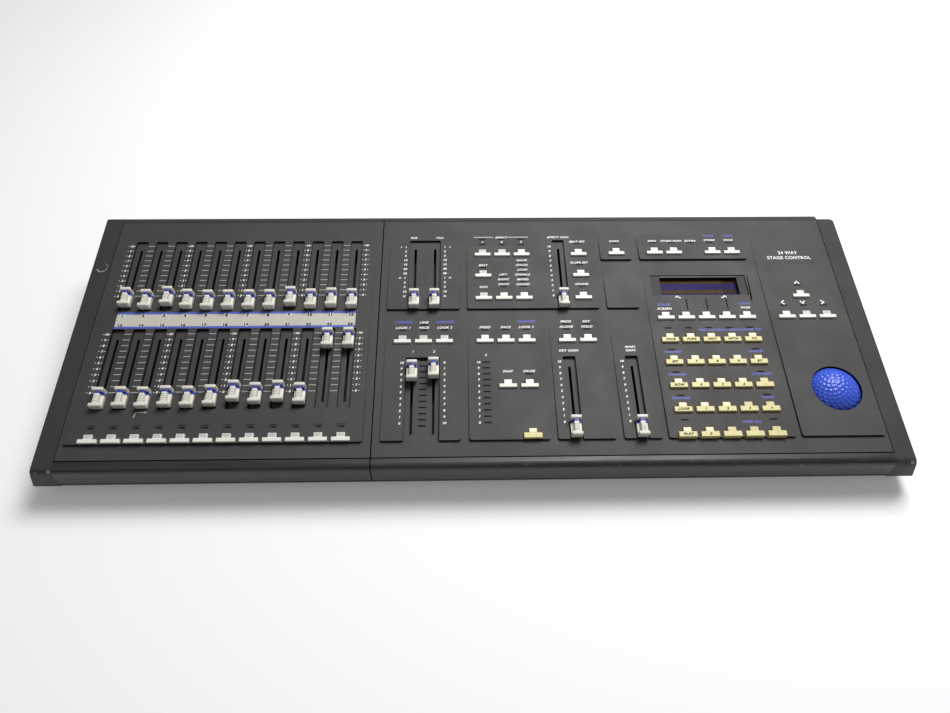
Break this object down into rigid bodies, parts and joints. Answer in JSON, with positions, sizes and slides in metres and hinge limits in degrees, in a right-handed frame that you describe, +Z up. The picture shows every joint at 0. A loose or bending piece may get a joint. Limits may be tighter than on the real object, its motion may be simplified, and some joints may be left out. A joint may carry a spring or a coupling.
{
  "type": "lighting control desk",
  "caption": "Tabletop stage lighting desk: rows of submaster faders, playback faders, keypad with display, and a trackball on a sloping panel.",
  "frame": {"origin": "on the surface the desk stands on, under the middle of its bounding box", "axes": "+X to the operator's right along the desk's length, +Y away from the operator, +Z up"},
  "size_m": [0.749, 0.2712, 0.0736],
  "materials": {
    "tray_metal": "fine texture, black",
    "cheek_plastic": "moulded texture, near black",
    "rail_plastic": "satin",
    "panel_paint": "fine texture, charcoal",
    "strip_card": "printed card under clear film",
    "window_acrylic": "tinted, polished",
    "board": "solder resist",
    "steel": "zinc plated",
    "switch_plastic": "moulded",
    "connector_black": "moulded",
    "foot_rubber": "matt",
    "ball_blue": "dimpled, satin",
    "key_yellow": "satin",
    "key_white": "satin",
    "fader_cap": "satin"
  },
  "bodies": {
    "desk": {"base_tray": "tray_metal", "case_screws": "steel", "circuit_boards": "board", "control_panel": "panel_paint", "designation_strip": "strip_card", "display_module": "board", "display_window": "window_acrylic", "fader_tracks": "steel", "feet": "foot_rubber", "front_rail": "rail_plastic", "key_switches": "switch_plastic", "left_end_cheek": "cheek_plastic", "rear_connectors": "connector_black", "right_end_cheek": "cheek_plastic", "submaster_panel": "panel_paint", "trackball_housing": "switch_plastic"},
    "submaster_fader_01": {"submaster_fader_01": "fader_cap"},
    "submaster_fader_02": {"submaster_fader_02": "fader_cap"},
    "submaster_fader_03": {"submaster_fader_03": "fader_cap"},
    "submaster_fader_04": {"submaster_fader_04": "fader_cap"},
    "submaster_fader_05": {"submaster_fader_05": "fader_cap"},
    "submaster_fader_06": {"submaster_fader_06": "fader_cap"},
    "submaster_fader_07": {"submaster_fader_07": "fader_cap"},
    "submaster_fader_08": {"submaster_fader_08": "fader_cap"},
    "submaster_fader_09": {"submaster_fader_09": "fader_cap"},
    "submaster_fader_10": {"submaster_fader_10": "fader_cap"},
    "submaster_fader_11": {"submaster_fader_11": "fader_cap"},
    "submaster_fader_12": {"submaster_fader_12": "fader_cap"},
    "submaster_fader_13": {"submaster_fader_13": "fader_cap"},
    "submaster_fader_14": {"submaster_fader_14": "fader_cap"},
    "submaster_fader_15": {"submaster_fader_15": "fader_cap"},
    "submaster_fader_16": {"submaster_fader_16": "fader_cap"},
    "submaster_fader_17": {"submaster_fader_17": "fader_cap"},
    "submaster_fader_18": {"submaster_fader_18": "fader_cap"},
    "submaster_fader_19": {"submaster_fader_19": "fader_cap"},
    "submaster_fader_20": {"submaster_fader_20": "fader_cap"},
    "submaster_fader_21": {"submaster_fader_21": "fader_cap"},
    "submaster_fader_22": {"submaster_fader_22": "fader_cap"},
    "submaster_fader_23": {"submaster_fader_23": "fader_cap"},
    "submaster_fader_24": {"submaster_fader_24": "fader_cap"},
    "fade_in_fader": {"fade_in_fader": "fader_cap"},
    "fade_out_fader": {"fade_out_fader": "fader_cap"},
    "effects_master_fader": {"effects_master_fader": "fader_cap"},
    "playback_fader_a": {"playback_fader_a": "fader_cap"},
    "playback_fader_b": {"playback_fader_b": "fader_cap"},
    "flash_level_fader": {"flash_level_fader": "fader_cap"},
    "grand_master_fader": {"grand_master_fader": "fader_cap"},
    "submaster_flash_keys": {"submaster_flash_keys": "key_white"},
    "effects_keys": {"effects_keys": "key_white"},
    "playback_keys": {"playback_keys": "key_white"},
    "blackout_key": {"blackout_key": "key_white"},
    "go_key": {"go_key": "key_yellow"},
    "record_keys": {"record_keys": "key_white"},
    "display_keys": {"display_keys": "key_white"},
    "keypad_keys": {"keypad_keys": "key_yellow"},
    "cursor_keys": {"cursor_keys": "key_white"},
    "power_switch_rocker": {"power_switch_rocker": "connector_black"},
    "trackball": {"trackball": "ball_blue"},
    "forward_encoder_roller": {"forward_encoder_roller": "steel"},
    "sideways_encoder_roller": {"sideways_encoder_roller": "steel"}
  },
  "joints": [
    {"name": "submaster_fader_01_slide", "type": "slide", "parent": "desk", "child": "submaster_fader_01", "axis": [0, 0.9925, 0.1219], "range_m": [-0.0034, 0.0566]},
    {"name": "submaster_fader_02_slide", "type": "slide", "parent": "desk", "child": "submaster_fader_02", "axis": [0, 0.9925, 0.1219], "range_m": [-0.001, 0.059]},
    {"name": "submaster_fader_03_slide", "type": "slide", "parent": "desk", "child": "submaster_fader_03", "axis": [0, 0.9925, 0.1219], "range_m": [-0.0044, 0.0556]},
    {"name": "submaster_fader_04_slide", "type": "slide", "parent": "desk", "child": "submaster_fader_04", "axis": [0, 0.9925, 0.1219], "range_m": [-0.001, 0.059]},
    {"name": "submaster_fader_05_slide", "type": "slide", "parent": "desk", "child": "submaster_fader_05", "axis": [0, 0.9925, 0.1219], "range_m": [0, 0.06]},
    {"name": "submaster_fader_06_slide", "type": "slide", "parent": "desk", "child": "submaster_fader_06", "axis": [0, 0.9925, 0.1219], "range_m": [0, 0.06]},
    {"name": "submaster_fader_07_slide", "type": "slide", "parent": "desk", "child": "submaster_fader_07", "axis": [0, 0.9925, 0.1219], "range_m": [0, 0.06]},
    {"name": "submaster_fader_08_slide", "type": "slide", "parent": "desk", "child": "submaster_fader_08", "axis": [0, 0.9925, 0.1219], "range_m": [0, 0.06]},
    {"name": "submaster_fader_09_slide", "type": "slide", "parent": "desk", "child": "submaster_fader_09", "axis": [0, 0.9925, 0.1219], "range_m": [-0.0034, 0.0566]},
    {"name": "submaster_fader_10_slide", "type": "slide", "parent": "desk", "child": "submaster_fader_10", "axis": [0, 0.9925, 0.1219], "range_m": [-0.0005, 0.0595]},
    {"name": "submaster_fader_11_slide", "type": "slide", "parent": "desk", "child": "submaster_fader_11", "axis": [0, 0.9925, 0.1219], "range_m": [-0.0015, 0.0585]},
    {"name": "submaster_fader_12_slide", "type": "slide", "parent": "desk", "child": "submaster_fader_12", "axis": [0, 0.9925, 0.1219], "range_m": [-0.0005, 0.0595]},
    {"name": "submaster_fader_13_slide", "type": "slide", "parent": "desk", "child": "submaster_fader_13", "axis": [0, 0.9925, 0.1219], "range_m": [-0.0008, 0.0592]},
    {"name": "submaster_fader_14_slide", "type": "slide", "parent": "desk", "child": "submaster_fader_14", "axis": [0, 0.9925, 0.1219], "range_m": [-0.0013, 0.0587]},
    {"name": "submaster_fader_15_slide", "type": "slide", "parent": "desk", "child": "submaster_fader_15", "axis": [0, 0.9925, 0.1219], "range_m": [-0.0008, 0.0592]},
    {"name": "submaster_fader_16_slide", "type": "slide", "parent": "desk", "child": "submaster_fader_16", "axis": [0, 0.9925, 0.1219], "range_m": [-0.0018, 0.0582]},
    {"name": "submaster_fader_17_slide", "type": "slide", "parent": "desk", "child": "submaster_fader_17", "axis": [0, 0.9925, 0.1219], "range_m": [-0.0013, 0.0587]},
    {"name": "submaster_fader_18_slide", "type": "slide", "parent": "desk", "child": "submaster_fader_18", "axis": [0, 0.9925, 0.1219], "range_m": [-0.0023, 0.0577]},
    {"name": "submaster_fader_19_slide", "type": "slide", "parent": "desk", "child": "submaster_fader_19", "axis": [0, 0.9925, 0.1219], "range_m": [-0.0067, 0.0533]},
    {"name": "submaster_fader_20_slide", "type": "slide", "parent": "desk", "child": "submaster_fader_20", "axis": [0, 0.9925, 0.1219], "range_m": [-0.0042, 0.0558]},
    {"name": "submaster_fader_21_slide", "type": "slide", "parent": "desk", "child": "submaster_fader_21", "axis": [0, 0.9925, 0.1219], "range_m": [-0.0062, 0.0538]},
    {"name": "submaster_fader_22_slide", "type": "slide", "parent": "desk", "child": "submaster_fader_22", "axis": [0, 0.9925, 0.1219], "range_m": [-0.0037, 0.0563]},
    {"name": "submaster_fader_23_slide", "type": "slide", "parent": "desk", "child": "submaster_fader_23", "axis": [0, 0.9925, 0.1219], "range_m": [-0.06, 0]},
    {"name": "submaster_fader_24_slide", "type": "slide", "parent": "desk", "child": "submaster_fader_24", "axis": [0, 0.9925, 0.1219], "range_m": [-0.06, 0]},
    {"name": "fade_in_fader_slide", "type": "slide", "parent": "desk", "child": "fade_in_fader", "axis": [0, 0.9925, 0.1219], "range_m": [0, 0.06]},
    {"name": "fade_out_fader_slide", "type": "slide", "parent": "desk", "child": "fade_out_fader", "axis": [0, 0.9925, 0.1219], "range_m": [0, 0.06]},
    {"name": "effects_master_fader_slide", "type": "slide", "parent": "desk", "child": "effects_master_fader", "axis": [0, 0.9925, 0.1219], "range_m": [0, 0.06]},
    {"name": "playback_fader_a_slide", "type": "slide", "parent": "desk", "child": "playback_fader_a", "axis": [0, 0.9925, 0.1219], "range_m": [-0.0575, 0.0025]},
    {"name": "playback_fader_b_slide", "type": "slide", "parent": "desk", "child": "playback_fader_b", "axis": [0, 0.9925, 0.1219], "range_m": [-0.06, 0]},
    {"name": "flash_level_fader_slide", "type": "slide", "parent": "desk", "child": "flash_level_fader", "axis": [0, 0.9925, 0.1219], "range_m": [-0.0022, 0.0578]},
    {"name": "grand_master_fader_slide", "type": "slide", "parent": "desk", "child": "grand_master_fader", "axis": [0, 0.9925, 0.1219], "range_m": [-0.0018, 0.0582]},
    {"name": "submaster_flash_keys_press", "type": "slide", "parent": "desk", "child": "submaster_flash_keys", "axis": [0, 0.1219, -0.9925], "range_m": [0, 0.0018], "stiffness_N_per_m": 600, "springref_m": -0.0015},
    {"name": "effects_keys_press", "type": "slide", "parent": "desk", "child": "effects_keys", "axis": [0, 0.1219, -0.9925], "range_m": [0, 0.0018], "stiffness_N_per_m": 600, "springref_m": -0.0015},
    {"name": "playback_keys_press", "type": "slide", "parent": "desk", "child": "playback_keys", "axis": [0, 0.1219, -0.9925], "range_m": [0, 0.0018], "stiffness_N_per_m": 600, "springref_m": -0.0015},
    {"name": "blackout_key_press", "type": "slide", "parent": "desk", "child": "blackout_key", "axis": [0, 0.1219, -0.9925], "range_m": [0, 0.0018], "stiffness_N_per_m": 600, "springref_m": -0.0015},
    {"name": "go_key_press", "type": "slide", "parent": "desk", "child": "go_key", "axis": [0, 0.1219, -0.9925], "range_m": [0, 0.0018], "stiffness_N_per_m": 600, "springref_m": -0.0015},
    {"name": "record_keys_press", "type": "slide", "parent": "desk", "child": "record_keys", "axis": [0, 0.1219, -0.9925], "range_m": [0, 0.0018], "stiffness_N_per_m": 600, "springref_m": -0.0015},
    {"name": "display_keys_press", "type": "slide", "parent": "desk", "child": "display_keys", "axis": [0, 0.1219, -0.9925], "range_m": [0, 0.0018], "stiffness_N_per_m": 600, "springref_m": -0.0015},
    {"name": "keypad_keys_press", "type": "slide", "parent": "desk", "child": "keypad_keys", "axis": [0, 0.1219, -0.9925], "range_m": [0, 0.0018], "stiffness_N_per_m": 600, "springref_m": -0.0015},
    {"name": "cursor_keys_press", "type": "slide", "parent": "desk", "child": "cursor_keys", "axis": [0, 0.1219, -0.9925], "range_m": [0, 0.0018], "stiffness_N_per_m": 600, "springref_m": -0.0015},
    {"name": "power_switch_rocker_tilt", "type": "hinge", "parent": "desk", "child": "power_switch_rocker", "pos_m": [0.285, 0.13273, 0.047], "axis": [1, 0, 0], "range_deg": [0, 18]},
    {"name": "trackball_roll", "type": "hinge", "parent": "desk", "child": "trackball", "pos_m": [0.3168, -0.0637, 0.03485], "axis": [1, 0, 0], "continuous": true},
    {"name": "forward_encoder_spin", "type": "hinge", "parent": "desk", "child": "forward_encoder_roller", "pos_m": [0.3168, -0.03521, 0.03834], "axis": [1, 0, 0], "continuous": true},
    {"name": "sideways_encoder_spin", "type": "hinge", "parent": "desk", "child": "sideways_encoder_roller", "pos_m": [0.2881, -0.0637, 0.03485], "axis": [0, 0.9925, 0.1219], "continuous": true}
  ],
  "couplings": [
    {"joint": "forward_encoder_spin", "follows": "trackball_roll", "ratio": -8.4667}
  ]
}
